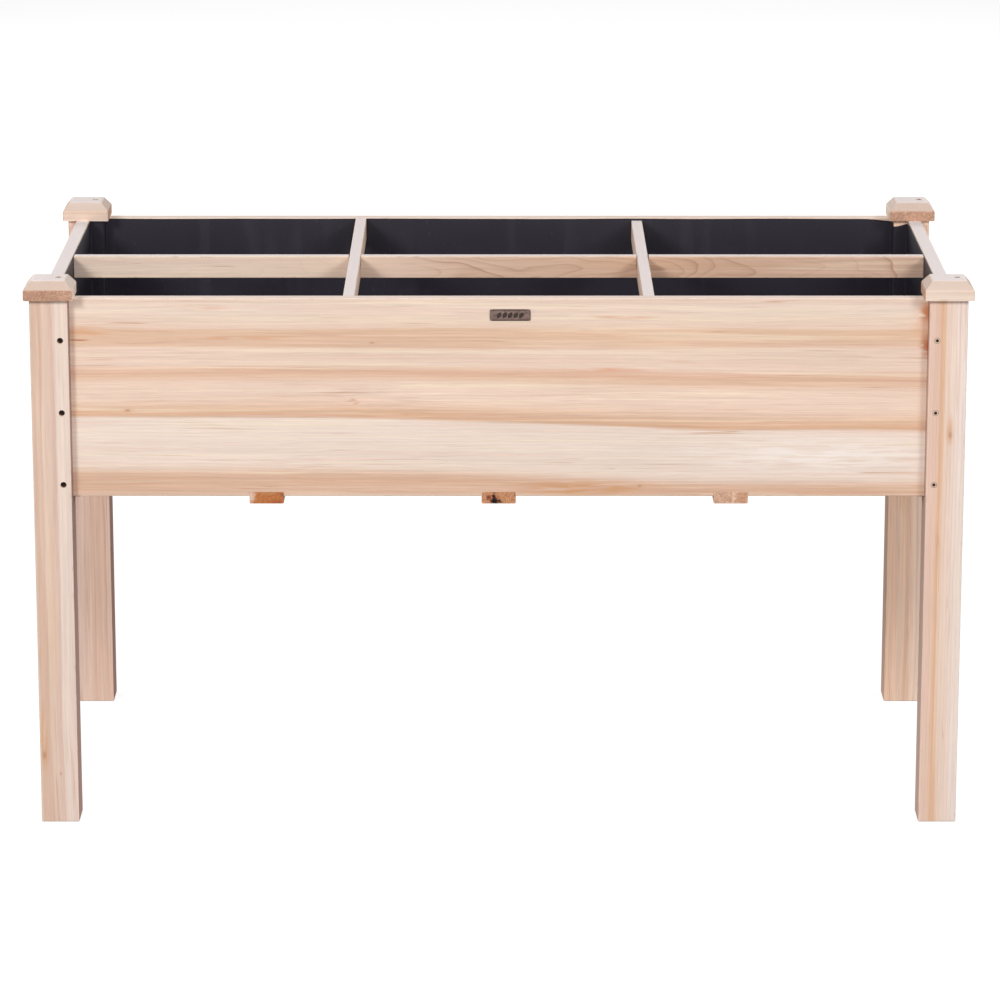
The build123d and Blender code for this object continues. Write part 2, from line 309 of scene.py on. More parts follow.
    # Sawn ends: darker, open-pored, with the rings plain to see.
    end_tones = end_tones or (tones["band"], tones["streak"])
    along_normal = f.math("ABSOLUTE", f.split(normal)[grain_index[grain]])
    end = f.between(along_normal, 0.55, 0.95)
    speck = f.noise(grown, (800, 800, 800), 2.0)
    end_share = f.math("MULTIPLY_ADD", ring, 0.50, f.math("MULTIPLY", f.between(cloud, 0.42, 0.62), 0.22))
    end_colour = f.mix(end_share, end_tones[0], end_tones[1])
    pores = f.noise(grown, (330, 330, 330), 2.0)
    end_colour = f.mix(1.0, end_colour, f.ramp(speck, [(0.3, 0.74), (0.7, 1.14)]), "MULTIPLY")
    end_colour = f.mix(1.0, end_colour, f.ramp(pores, [(0.3, 0.78), (0.6, 1.08)]), "MULTIPLY")
    tear = 0.009
    torn = f.vector("SUBTRACT", f.noise(grown, (300, 300, 40), 2.0, "Color"), (0.5, 0.5, 0.5))
    torn_x, torn_y = f.split(f.vector("MULTIPLY_ADD", torn, (tear, tear, 0), bent))[:2]
    for mark_x, mark_y, width, rise, stain, strength in end_marks:
        patch = f.between(oval(torn_x, mark_x, width, torn_y, mark_y, rise), 1.0, 0.30)
        end_colour = f.mix(f.math("MULTIPLY", patch, strength), end_colour, stain)
    colour = f.mix(end, colour, end_colour)

    # The long edges are a touch paler, partly from sanding and partly as a painted highlight on their
    # rounding, with small knocks.
    from_x = f.math("SUBTRACT", half_across.x, f.math("ABSOLUTE", f.split(wood)[0]))
    from_y = f.math("SUBTRACT", half_across.y, f.math("ABSOLUTE", f.split(wood)[1]))
    pale_edge_width = 0.0032
    edge = f.between(f.math("MAXIMUM", from_x, from_y), pale_edge_width, 0.0006)
    knock = f.between(f.noise(grown, (120, 120, 60), 2.0), 0.58, 0.7)
    colour = f.mix(f.math("MULTIPLY", edge, 0.30), colour, tones["cream"])
    colour = f.mix(f.math("MULTIPLY", f.math("MULTIPLY", edge, knock), 0.35), colour, tones["late"])

    # A dark line where a board enters a leg, partly dust and partly painted shade in the joint.
    if joint:
        dust_and_shade_width = 0.0018
        dust_and_shade_line = f.between(f.math("ABSOLUTE", f.split(wood)[2]), joint - dust_and_shade_width, joint - 0.0004)
        colour = f.mix(f.math("MULTIPLY", dust_and_shade_line, 0.62), colour, tone(112, 72, 50))

    # Upward faces get a paler, cooler tone as a painted sheen of light from above, and sloping faces a
    # darker tone as painted shade.
    upward = f.between(f.split(normal)[2], 0.70, 0.95)
    colour = f.mix(f.math("MULTIPLY", upward, top_sheen), colour, tone(230, 221, 221))
    if slope_shade:
        sloping = f.math("MULTIPLY", f.between(f.split(normal)[2], 0.35, 0.60), f.between(upward, 1.0, 0.0))
        colour = f.mix(f.math("MULTIPLY", sloping, 0.72), colour, slope_shade)

    # A post's inner face gets a darker brown tone as painted shade, which is chosen and not worked out from
    # the rings.
    if inner_face_shade:
        way, inner_shade_tint = inner_face_shade
        inward = f.math("MULTIPLY", f.split(normal)[0], way)
        colour = f.mix(f.between(inward, 0.6, 0.95), colour, f.mix(1.0, colour, inner_shade_tint, "MULTIPLY"))

    roughness = f.math("MULTIPLY_ADD", fibre, 0.16, 0.52)
    roughness = f.math("MULTIPLY_ADD", end, 0.15, roughness)
    relief = f.math("MULTIPLY_ADD", ring, 0.35, fibre)
    relief = f.math("MULTIPLY_ADD", f.math("MULTIPLY", speck, end), 0.8, relief)
    relief = f.math("MULTIPLY_ADD", f.math("MULTIPLY", edge, knock), -0.8, relief)
    f.shader.inputs["Specular IOR Level"].default_value = 0.3
    grain_depth = 0.00022
    return f.finish(colour, roughness, relief, grain_depth)


def cover(node_name, material):
    """Gives a piece of the frame its finish."""
    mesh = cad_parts[node_name].data
    mesh.materials.clear()
    mesh.materials.append(material)
    for face in mesh.polygons:
        face.material_index = 0


leg_tones = {
    "early": tone(230, 205, 189),
    "late": tone(206, 164, 138),
    "band": tone(221, 184, 162),
    "streak": tone(188, 130, 92),
    "cream": tone(240, 219, 202),
    "pink": tone(223, 186, 170),
}
# How each leg's colour changes from its left side to its right side, as (share, colour).
front_left_bands = (
    (0.00, tone(217, 191, 176)),
    (0.06, tone(217, 185, 164)),
    (0.26, tone(218, 185, 166)),
    (0.36, tone(224, 197, 180)),
    (0.50, tone(221, 192, 176)),
    (0.60, tone(222, 195, 182)),
    (0.68, tone(229, 209, 196)),
    (0.82, tone(233, 215, 204)),
    (1.00, tone(227, 207, 196)),
)
front_right_bands = (
    (0.00, tone(231, 197, 182)),
    (0.24, tone(230, 197, 176)),
    (0.32, tone(226, 181, 149)),
    (0.39, tone(228, 185, 153)),
    (0.46, tone(233, 206, 187)),
    (0.70, tone(237, 215, 203)),
    (0.84, tone(240, 223, 214)),
    (1.00, tone(237, 223, 216)),
)
# The rear legs' colours are paler than the front legs', as painted light against the shade the trough casts
# on them.
rear_left_bands = (
    (0.00, tone(234, 202, 187)),
    (0.22, tone(244, 211, 195)),
    (0.40, tone(246, 210, 191)),
    (0.60, tone(242, 204, 183)),
    (1.00, tone(245, 207, 188)),
)
rear_right_bands = (
    (0.00, tone(250, 209, 183)),
    (0.60, tone(249, 209, 182)),
    (0.72, tone(250, 215, 191)),
    (0.82, tone(253, 222, 201)),
    (1.00, tone(250, 218, 197)),
)
# Honey-coloured heartwood, as (place across, height from the middle, half width, half height,
# colour, strength).
front_left_honey = (
    (-0.019, -0.240, 0.010, 0.075, tone(214, 160, 108), 0.60),
    (-0.002, -0.060, 0.007, 0.240, tone(228, 190, 150), 0.45),
)
front_right_honey = ((0.006, 0.180, 0.006, 0.030, tone(218, 160, 112), 0.60),)
rear_right_honey = ((-0.005, 0.035, 0.028, 0.125, tone(220, 160, 98), 1.0),)
front_left_knots = ((-0.018, -0.262, 0.0035), (0.002, -0.288, 0.0012))
# name, heart (x, y) from the leg's middle, bands, knots as (place across, height, size), honey patches,
# and the painted shade that darkens the inner face
legs = (
    ("front_left_leg", (-0.075, 0.21), front_left_bands, front_left_knots, front_left_honey,
     (0.67, 0.52, 0.51, 1)),
    ("front_right_leg", (-0.26, 0.08), front_right_bands, ((0.006, 0.175, 0.0028),), front_right_honey,
     (0.83, 0.81, 0.80, 1)),
    ("rear_left_leg", (-0.05, -0.19), rear_left_bands, (), (), (0.54, 0.42, 0.42, 1)),
    ("rear_right_leg", (0.03, 0.16), rear_right_bands, ((0.012, 0.02, 0.003),), rear_right_honey,
     (0.80, 0.78, 0.77, 1)),
)
leg_ring_gap = 0.0042
for seed, (name, heart, bands, knots, honey, inner_shade_tint) in enumerate(legs, start=1):
    way_in = 1 if "left" in name else -1
    cover(name, fir(name + "_fir", name, "Z", heart, leg_ring_gap, leg_tones, seed, bands=bands,
                    knots=knots, blushes=honey, inner_face_shade=(way_in, inner_shade_tint)))

# ---------------------------------------------------------------------------
# Caps. Low square blocks of the same fir with four sloping sides, sawn from a
# long bar, so two sides show long grain and two show end grain. One screw each.
# ---------------------------------------------------------------------------
cap_tones = dict(leg_tones, early=tone(232, 211, 195), band=tone(224, 192, 168))
cap_end = (tone(206, 164, 139), tone(160, 110, 84))
# The caps' sloping faces get this darker colour as painted shade.
cap_slope_shade = tone(201, 182, 170)
cap_ring_gap = 0.0030
# name, grain, heart from the cap's middle
caps = (
    ("front_left_cap", "Y", (0.015, 0.035)),
    ("front_right_cap", "X", (0.03, 0.06)),
    ("rear_left_cap", "X", (-0.04, 0.05)),
    ("rear_right_cap", "Y", (-0.01, 0.03)),
)
for seed, (name, grain, heart) in enumerate(caps, start=11):
    cover(name, fir(name + "_fir", name, grain, heart, cap_ring_gap, cap_tones, seed, top_sheen=0.80,
                    slope_shade=cap_slope_shade, end_tones=cap_end))

# ---------------------------------------------------------------------------
# Long panels. Wide fir boards let into the legs at both ends. The front one
# carries pale and warm bands along its whole length.
# ---------------------------------------------------------------------------
panel_tones = {
    "early": tone(233, 211, 195),
    "late": tone(210, 166, 134),
    "band": tone(225, 190, 166),
    "streak": tone(188, 126, 82),
    "cream": tone(242, 222, 198),
    "pink": tone(229, 196, 179),
}
# Share of the panel's height from its lower edge, and the wood's colour there.
front_bands = (
    (0.000, tone(218, 184, 163)),
    (0.045, tone(215, 177, 151)),
    (0.090, tone(212, 172, 146)),
    (0.120, tone(219, 184, 160)),
    (0.145, tone(228, 205, 189)),
    (0.170, tone(235, 216, 203)),
    (0.210, tone(231, 213, 200)),
    (0.290, tone(235, 218, 206)),
    (0.392, tone(235, 216, 203)),
    (0.404, tone(214, 172, 142)),
    (0.430, tone(220, 179, 149)),
    (0.452, tone(228, 194, 168)),
    (0.480, tone(232, 202, 182)),
    (0.520, tone(235, 209, 191)),
    (0.575, tone(233, 206, 187)),
    (0.600, tone(226, 191, 166)),
    (0.625, tone(218, 177, 152)),
    (0.650, tone(225, 190, 168)),
    (0.665, tone(232, 207, 190)),
    (0.700, tone(227, 201, 183)),
    (0.740, tone(232, 206, 189)),
    (0.757, tone(223, 188, 163)),
    (0.840, tone(223, 186, 158)),
    (0.857, tone(231, 204, 185)),
    (0.900, tone(229, 206, 188)),
    (0.935, tone(231, 210, 194)),
    (0.965, tone(229, 207, 191)),
    (1.000, tone(224, 199, 184)),
)


def front_lean(f, along, share):
    """Towards the right the lower bands sink by a sixteenth of the board, as the tree leaned."""
    sink = f.math("MULTIPLY", f.between(along, -0.22, 0.36), 0.066)
    return f.math("MULTIPLY_ADD", sink, f.between(share, 0.80, 0.36), share)


# Blushes as (place below the middle, place along, half height, half length, colour, strength).
orange_stain = tone(206, 142, 92)
front_blushes = (
    (0.120, 0.110, 0.016, 0.130, tone(206, 148, 98), 0.80),
    (-0.100, 0.560, 0.036, 0.030, tone(222, 166, 130), 0.50),
    (-0.116, 0.561, 0.022, 0.020, tone(202, 126, 80), 0.95),
    (-0.071, 0.562, 0.022, 0.018, tone(186, 104, 60), 1.0),
    (-0.107, 0.165, 0.004, 0.070, tone(216, 156, 118), 0.60),
    (-0.036, 0.140, 0.005, 0.075, tone(222, 148, 108), 0.60),
    (-0.074, -0.548, 0.003, 0.022, tone(160, 98, 48), 0.85),
    (-0.085, -0.540, 0.014, 0.045, tone(208, 146, 100), 0.50),
    (-0.076, -0.350, 0.0035, 0.110, orange_stain, 0.55),
    (0.075, 0.420, 0.036, 0.240, tone(246, 234, 226), 0.85),
    (-0.118, -0.390, 0.006, 0.060, tone(210, 152, 118), 0.45),
)
front_knots = ((0.118, 0.185, 0.0018), (0.016, -0.485, 0.0022), (-0.070, -0.165, 0.0016))
long_joint = -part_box("front_left_leg")[1].x
cover("front_panel", fir("front_panel_fir", "front_panel", "X", (0.42, 0.06), 0.0047, panel_tones, 21,
                         bands=front_bands, band_way=(-1, 0, 0), lean=front_lean, figure=(0.20, 0.02),
                         calm=(0.14, 0.395), knots=front_knots, blushes=front_blushes, joint=long_joint))
cover("rear_panel", fir("rear_panel_fir", "rear_panel", "X", (0.30, -0.10), 0.0048, panel_tones, 22,
                        knots=((0.04, -0.2, 0.006),), joint=long_joint))

# ---------------------------------------------------------------------------
# End panels. The same wide fir boards cut short, one at each end of the trough,
# let into the legs the same way.
# ---------------------------------------------------------------------------
end_panels = (("left_end_panel", (0.35, 0.05)), ("right_end_panel", (-0.30, 0.08)))
end_joint = -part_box("front_left_leg")[1].y
end_ring_gap = 0.0050
for seed, (name, heart) in enumerate(end_panels, start=23):
    cover(name, fir(name + "_fir", name, "Y", heart, end_ring_gap, panel_tones, seed, joint=end_joint,
                    top_sheen=0.85))

# ---------------------------------------------------------------------------
# Battens. Rougher planed fir under the floor, let into the long panels' lower
# edges and screwed up into them; the darker sawn ends show from the front.
# ---------------------------------------------------------------------------
batten_tones = {
    "early": tone(222, 190, 164),
    "late": tone(188, 134, 98),
    "band": tone(208, 158, 120),
    "streak": tone(164, 96, 58),
    "cream": tone(230, 202, 176),
    "pink": tone(210, 168, 142),
}
# name, heart from the batten's middle, sawn end colours, and marks on the ends as
# (place across, place down, half width, half height, colour, strength)
battens = (
    ("left_batten", (0.012, 0.022), (tone(196, 122, 72), tone(138, 64, 30)), (
        (-0.0215, -0.002, 0.0105, 0.013, tone(226, 190, 166), 0.95),
        (0.014, 0.006, 0.014, 0.006, tone(158, 72, 36), 0.55),
        (0.004, -0.006, 0.014, 0.003, tone(188, 138, 88), 0.60),
        (0.020, -0.006, 0.0025, 0.0020, tone(70, 40, 24), 0.80))),
    ("middle_batten", (-0.008, 0.007), (tone(226, 166, 122), tone(118, 54, 28)), (
        (-0.009, 0.002, 0.0130, 0.0075, tone(168, 92, 66), 0.55),
        (-0.008, 0.002, 0.0016, 0.0090, tone(30, 8, 8), 0.95),
        (-0.002, 0.0060, 0.0060, 0.0016, tone(52, 16, 12), 0.85),
        (-0.0145, 0.0015, 0.0020, 0.0050, tone(90, 30, 22), 0.75),
        (-0.008, 0.0065, 0.0085, 0.0050, tone(22, 6, 8), 1.0),
        (-0.008, 0.0010, 0.0042, 0.0058, tone(40, 12, 12), 0.95),
        (-0.008, -0.006, 0.0034, 0.0020, tone(84, 30, 24), 0.85),
        (-0.0165, 0.002, 0.0026, 0.0042, tone(128, 54, 40), 0.80),
        (0.018, -0.004, 0.0040, 0.0025, tone(132, 74, 48), 0.60))),
    ("right_batten", (-0.045, -0.006), (tone(216, 174, 148), tone(203, 156, 128)), (
        (0.0165, -0.004, 0.0070, 0.0016, tone(164, 104, 74), 0.85),
        (0.0165, 0.0015, 0.0070, 0.0014, tone(170, 110, 80), 0.80),
        (0.0165, 0.0060, 0.0070, 0.0012, tone(170, 110, 80), 0.70),
        (0.0155, 0.0, 0.0085, 0.012, tone(204, 150, 116), 0.55),
        (0.0045, 0.0, 0.0035, 0.012, tone(236, 204, 174), 0.65))),
    ("left_end_batten", (0.03, 0.07), (tone(204, 150, 112), tone(160, 98, 62)), ()),
    ("right_end_batten", (-0.05, 0.04), (tone(204, 150, 112), tone(160, 98, 62)), ()),
)
batten_ring_gap = 0.0027
for seed, (name, heart, ends, marks) in enumerate(battens, start=31):
    cover(name, fir(name + "_fir", name, "Y", heart, batten_ring_gap, batten_tones, seed,
                    figure=(0.45, 0.15), top_sheen=0.1, end_tones=ends, end_marks=marks))

# ---------------------------------------------------------------------------
# Floor boards. Six loose fir boards on the battens, a few millimetres apart so
# that water drains between them.
# ---------------------------------------------------------------------------
board_tones = dict(batten_tones, early=tone(228, 200, 178), late=tone(200, 152, 118))
floor_boards = ["floor_board_" + str(number) for number in range(1, 7)]
board_ring_gap = 0.0040
for index, name in enumerate(floor_boards):
    heart = (0.04 + 0.015 * index, 0.05 - 0.03 * (index % 3))
    cover(name, fir(name + "_fir", name, "X", heart, board_ring_gap, board_tones, 41 + index, top_sheen=0.1))

# ---------------------------------------------------------------------------
# Liner. One sheet of dark film, folded into a tray that stands inside the
# trough. It follows the legs' corners, and its top edge lies just under the rim.
# ---------------------------------------------------------------------------
liner_low, liner_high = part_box("liner")
film_thickness = 0.0005
# How far the film stays inside its place, and how far it steps in round each leg.
film_gap = 0.0004
corner_reach = Vector((0.02, 0.02))
liner_size = liner_high - liner_low
liner_half = Vector((liner_size.x / 2 - film_gap, liner_size.y / 2 - film_gap))
leg_step = liner_half - corner_reach
wall_height = liner_high.z - liner_low.z - film_gap
wall_rows = 18
cell_size = 0.011
fold_round = 0.0025
rim_row = 0.0006


def cut_across(shape, axis, at, near=0.0):
    """Cuts every face of a shape where the axis (0, 1 or 2) reads that many metres."""
    cut_at = Vector((0, 0, 0))
    cut_facing = Vector((0, 0, 0))
    cut_at[axis] = at
    cut_facing[axis] = 1
    everything = shape.verts[:] + shape.edges[:] + shape.faces[:]
    bmesh.ops.bisect_plane(shape, geom=everything, dist=near, plane_co=cut_at, plane_no=cut_facing)


liner_shape = bmesh.new()
bmesh.ops.create_grid(liner_shape, x_segments=1, y_segments=1, size=1.0)
bmesh.ops.scale(liner_shape, vec=(liner_half.x, liner_half.y, 1), verts=liner_shape.verts)
for axis in (0, 1):
    for sign in (-1, 1):
        cut_across(liner_shape, axis, sign * leg_step[axis])
leg_corners = [
    face for face in liner_shape.faces
    if abs(face.calc_center_median().x) > leg_step.x and abs(face.calc_center_median().y) > leg_step.y
]
bmesh.ops.delete(liner_shape, geom=leg_corners, context="FACES")
# Close cuts beside each fold keep it crisp, and even cuts between them let the film move.
for axis in (0, 1):
    reach = liner_half[axis]
    for fold_at in (reach - fold_round, leg_step[axis] + fold_round, leg_step[axis] - fold_round):
        for sign in (-1, 1):
            cut_across(liner_shape, axis, sign * fold_at)
    steps = int(2 * reach / cell_size)
    for step in range(1, steps):
        cut_across(liner_shape, axis, -reach + 2 * reach * step / steps, near=0.0005)
wall_row = (wall_height - fold_round - rim_row) / (wall_rows - 2)
for rise in [fold_round] + [wall_row] * (wall_rows - 2) + [rim_row]:
    rim = [edge for edge in liner_shape.edges if edge.is_boundary]
    raised = bmesh.ops.extrude_edge_only(liner_shape, edges=rim)
    fresh = [item for item in raised["geom"] if isinstance(item, bmesh.types.BMVert)]
    bmesh.ops.translate(liner_shape, vec=(0, 0, rise), verts=fresh)

# How the film hangs: it lies close to the wood behind each divider's end, and elsewhere it
# stands a little off it in soft vertical folds. At the back right leg it has slipped down.
held_near_divider = 0.012
free_beyond = 0.050
fold_depth = 0.0008
crease_depth = 0.0008
crease_reach = 0.050
floor_ripple = 0.0009
rim_sag = 0.0012
slip_depth = 0.0075
slip_reach = 0.022
held_height = 0.03
on_plane = 1e-4
divider_ends = []
for name in ("long_divider", "left_cross_divider", "right_cross_divider"):
    low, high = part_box(name)
    middle = (low + high) / 2
    if high.x - low.x > high.y - low.y:
        divider_ends += [Vector((low.x, middle.y)), Vector((high.x, middle.y))]
    else:
        divider_ends += [Vector((middle.x, low.y)), Vector((middle.x, high.y))]
slipped_corner = Vector((leg_step.x, leg_step.y))
for vert in liner_shape.verts:
    x, y, z = vert.co
    up = z / wall_height
    facing = Vector((0.0, 0.0))
    on_leg_side = abs(abs(x) - leg_step.x) < on_plane and abs(y) > leg_step.y
    on_leg_front = abs(abs(y) - leg_step.y) < on_plane and abs(x) > leg_step.x
    if abs(abs(x) - liner_half.x) < on_plane or on_leg_side:
        facing.x = -math.copysign(1, x)
    if abs(abs(y) - liner_half.y) < on_plane or on_leg_front:
        facing.y = -math.copysign(1, y)
    nearest_end = min((Vector((x, y)) - end).length for end in divider_ends)
    free = min(1.0, max(0.0, (nearest_end - held_near_divider) / free_beyond))
    on_wall = min(1.0, z / held_height)
    near_leg = math.exp(-((Vector((abs(x), abs(y))) - leg_step).length / crease_reach) ** 2)
    fold = 0.5 + 0.5 * noise.noise(Vector((x * 8, y * 8, z * 2.5 + 3)))
    crease = abs(noise.noise(Vector((x * 75, y * 75, z * 5 + 9))))
    off = on_wall * free * (fold_depth * fold * (0.35 + 0.65 * up) + crease_depth * near_leg * crease)
    if facing.length > 0 and z > 0.001:
        vert.co.x += facing.x * off
        vert.co.y += facing.y * off
    if z < 0.001:
        vert.co.z += floor_ripple * (0.5 + 0.5 * noise.noise(Vector((x * 20, y * 20, 1))))
    slip = slip_depth * math.exp(-((Vector((x, y)) - slipped_corner).length / slip_reach) ** 2)
    sag = rim_sag * (0.5 + 0.5 * noise.noise(Vector((x * 9, y * 9, 5)))) + slip
    vert.co.z -= sag * max(0.0, (up - 0.7) / 0.3)
    vert.co.z += liner_low.z + film_gap
liner_shape.normal_update()

liner_mesh = bpy.data.meshes.new("dark_liner")
liner_shape.to_mesh(liner_mesh)
liner_shape.free()
for face in liner_mesh.polygons:
    face.use_smooth = True
liner = bpy.data.objects.new("dark_liner", liner_mesh)
scene.collection.objects.link(liner)
film = liner.modifiers.new("film", "SOLIDIFY")
film.thickness = film_thickness
film.offset = 1.0

f = Finish("dark_film")
place = f.place()
cloud = f.noise(place, (9, 9, 9), 3.0)
dust = f.noise(place, (260, 260, 120), 3.0)
scuff = f.between(f.noise(place, (38, 38, 6), 3.0), 0.56, 0.75)
film_colour = f.mix(cloud, tone(31, 28, 37), tone(42, 38, 51))
film_colour = f.mix(f.math("MULTIPLY", scuff, 0.18), film_colour, tone(66, 61, 78))
film_colour = f.mix(f.math("MULTIPLY", f.between(dust, 0.62, 0.75), 0.10), film_colour, tone(110, 102, 100))
film_roughness = f.math("MULTIPLY_ADD", cloud, 0.18, 0.40)
film_roughness = f.math("MULTIPLY_ADD", scuff, 0.12, film_roughness)
film_relief = f.math("MULTIPLY_ADD", dust, 0.2, f.noise(place, (14, 14, 9), 2.0))
f.shader.inputs["Specular IOR Level"].default_value = 0.4
film_relief_depth = 0.0006
liner_mesh.materials.append(f.finish(film_colour, film_roughness, film_relief, film_relief_depth))

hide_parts("liner")
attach(liner, "planter")

# ---------------------------------------------------------------------------
# Dividers. Narrow fir strips on edge, half-lapped where they cross. The two
# cross strips only rest in their laps and lift straight out.
# ---------------------------------------------------------------------------
divider_tones = {
    "early": tone(226, 202, 184),
    "late": tone(166, 118, 88),
    "band": tone(216, 178, 152),
    "streak": tone(172, 118, 84),
    "cream": tone(236, 212, 186),
    "pink": tone(222, 188, 172),
}
# The long strip darkens from left to right, as (share of its length, colour).
long_divider_bands = (
    (0.00, tone(226, 206, 190)),
    (0.15, tone(232, 210, 192)),
    (0.33, tone(228, 203, 184)),
    (0.45, tone(216, 185, 164)),
    (0.62, tone(209, 174, 149)),
    (0.74, tone(203, 166, 140)),
    (0.85, tone(209, 174, 150)),
    (1.00, tone(206, 173, 153)),
)
cover("long_divider", fir("long_divider_fir", "long_divider", "X", (0.003, 0.030), 0.0034, divider_tones,
                          51, bands=long_divider_bands, band_way=(0, 0, 1), taper=0.045, swirl=0.018,
                          figure=(0.90, 0.05), figured_from=-0.10, top_sheen=0.75))
cross_dividers = (("left_cross_divider", (0.05, 0.10)), ("right_cross_divider", (-0.06, 0.09)))
cross_ring_gap = 0.0036
for seed, (name, heart) in enumerate(cross_dividers, start=52):
    cover(name, fir(name + "_fir", name, "Y", heart, cross_ring_gap, divider_tones, seed, top_sheen=0.85))

# ---------------------------------------------------------------------------
# Name plate. A small pressed plate of dark antiqued metal, glued to the front
# panel, with a raised border and a row of five plain leaves in place of a name.
# ---------------------------------------------------------------------------
plate_low, plate_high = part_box("name_plate")
plate_middle = (plate_low + plate_high) / 2
plate_size = plate_high - plate_low
plate_corner = 0.002
plate_border = 0.0009
plate_relief = 0.00035
plate_edge_round = 0.0002
leaf_tilt = math.radians(-62)
leaf_length = 0.0096
leaf_width = 0.0062
leaf_gap = 0.0072

plate_shape = bmesh.new()
bmesh.ops.create_cube(plate_shape, size=1.0)
bmesh.ops.scale(plate_shape, vec=plate_size, verts=plate_shape.verts)
upright_edges = [
    edge for edge in plate_shape.edges if abs((edge.verts[0].co - edge.verts[1].co).normalized().y) > 0.9
]
bmesh.ops.bevel(plate_shape, geom=upright_edges, offset=plate_corner, affect="EDGES", segments=6,
                profile=0.5, material=-1)
front_face = min(plate_shape.faces, key=lambda face: face.calc_center_median().y)
bmesh.ops.bevel(plate_shape, geom=front_face.edges[:], offset=plate_edge_round, affect="EDGES", segments=2,
                profile=0.5, material=-1)
front_face = min(plate_shape.faces, key=lambda face: face.calc_center_median().y)
bmesh.ops.inset_region(plate_shape, faces=[front_face], thickness=plate_border, depth=0)
bmesh.ops.inset_region(plate_shape, faces=[front_face], thickness=plate_edge_round, depth=-plate_relief)
field_y = front_face.calc_center_median().y
for step in (-2, -1, 0, 1, 2):
    leaf = bmesh.ops.create_circle(plate_shape, cap_ends=True, segments=24, radius=1.0)["verts"]
    for vert in leaf:
        slim = max(0.0, 1 - vert.co.x ** 2) ** 0.35
        vert.co = Vector((vert.co.x * leaf_length / 2, 0, vert.co.y * slim * leaf_width / 2))
    bmesh.ops.rotate(plate_shape, cent=(0, 0, 0), matrix=Matrix.Rotation(leaf_tilt, 3, "Y"), verts=leaf)
    bmesh.ops.translate(plate_shape, vec=(step * leaf_gap, field_y, 0), verts=leaf)
    leaf_face = next(face for face in leaf[0].link_faces if all(vert in leaf for vert in face.verts))
    raised = bmesh.ops.extrude_face_region(plate_shape, geom=[leaf_face])
    top = [item for item in raised["geom"] if isinstance(item, bmesh.types.BMVert)]
    bmesh.ops.translate(plate_shape, vec=(0, -plate_relief, 0), verts=top)
    bmesh.ops.scale(plate_shape, vec=(0.86, 1, 0.8), verts=top,
                    space=Matrix.Translation((-step * leaf_gap, 0, 0)))
bmesh.ops.translate(plate_shape, vec=plate_middle, verts=plate_shape.verts)
bmesh.ops.recalc_face_normals(plate_shape, faces=plate_shape.faces)
plate_mesh = bpy.data.meshes.new("maker_plate")
plate_shape.to_mesh(plate_mesh)
plate_shape.free()
plate = bpy.data.objects.new("maker_plate", plate_mesh)
scene.collection.objects.link(plate)

f = Finish("antiqued_metal")
place = f.place()
brushed = f.noise(place, (300, 2500, 2500), 2.0)
patina = f.noise(place, (220, 220, 220), 3.0)
plate_colour = f.mix(f.between(patina, 0.35, 0.7), tone(147, 124, 115), tone(120, 98, 92))
sideways, forward = f.split(place)[:2]
raised_share = f.between(forward, plate_low.y + plate_relief * 0.8, plate_low.y + plate_relief * 0.3)
from_side = f.math("ABSOLUTE", f.math("SUBTRACT", sideways, plate_middle.x))
on_leaves = f.between(from_side, plate_size.x / 2 - 2.5 * plate_border, plate_size.x / 2 - 4 * plate_border)
plate_colour = f.mix(f.math("MULTIPLY", f.math("MULTIPLY", raised_share, on_leaves), 0.85), plate_colour,
                     tone(52, 40, 38))
plate_roughness = f.math("MULTIPLY_ADD", brushed, 0.2, 0.38)
f.shader.inputs["Metallic"].default_value = 0.55
plate_mesh.materials.append(f.finish(plate_colour, plate_roughness, brushed, 0.00003))
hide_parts("name_plate")
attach(plate, "planter")

# ---------------------------------------------------------------------------
# Screws. Countersunk wood screws with a cross recess. Those in the left legs are
# black and sit deep, those in the caps are black and nearly flush, and the rest
# are pale steel, driven nearly flush with the wood.
# ---------------------------------------------------------------------------
screw_head = 0.0039
screw_recess = 0.0027
screw_recess_depth = 0.0014
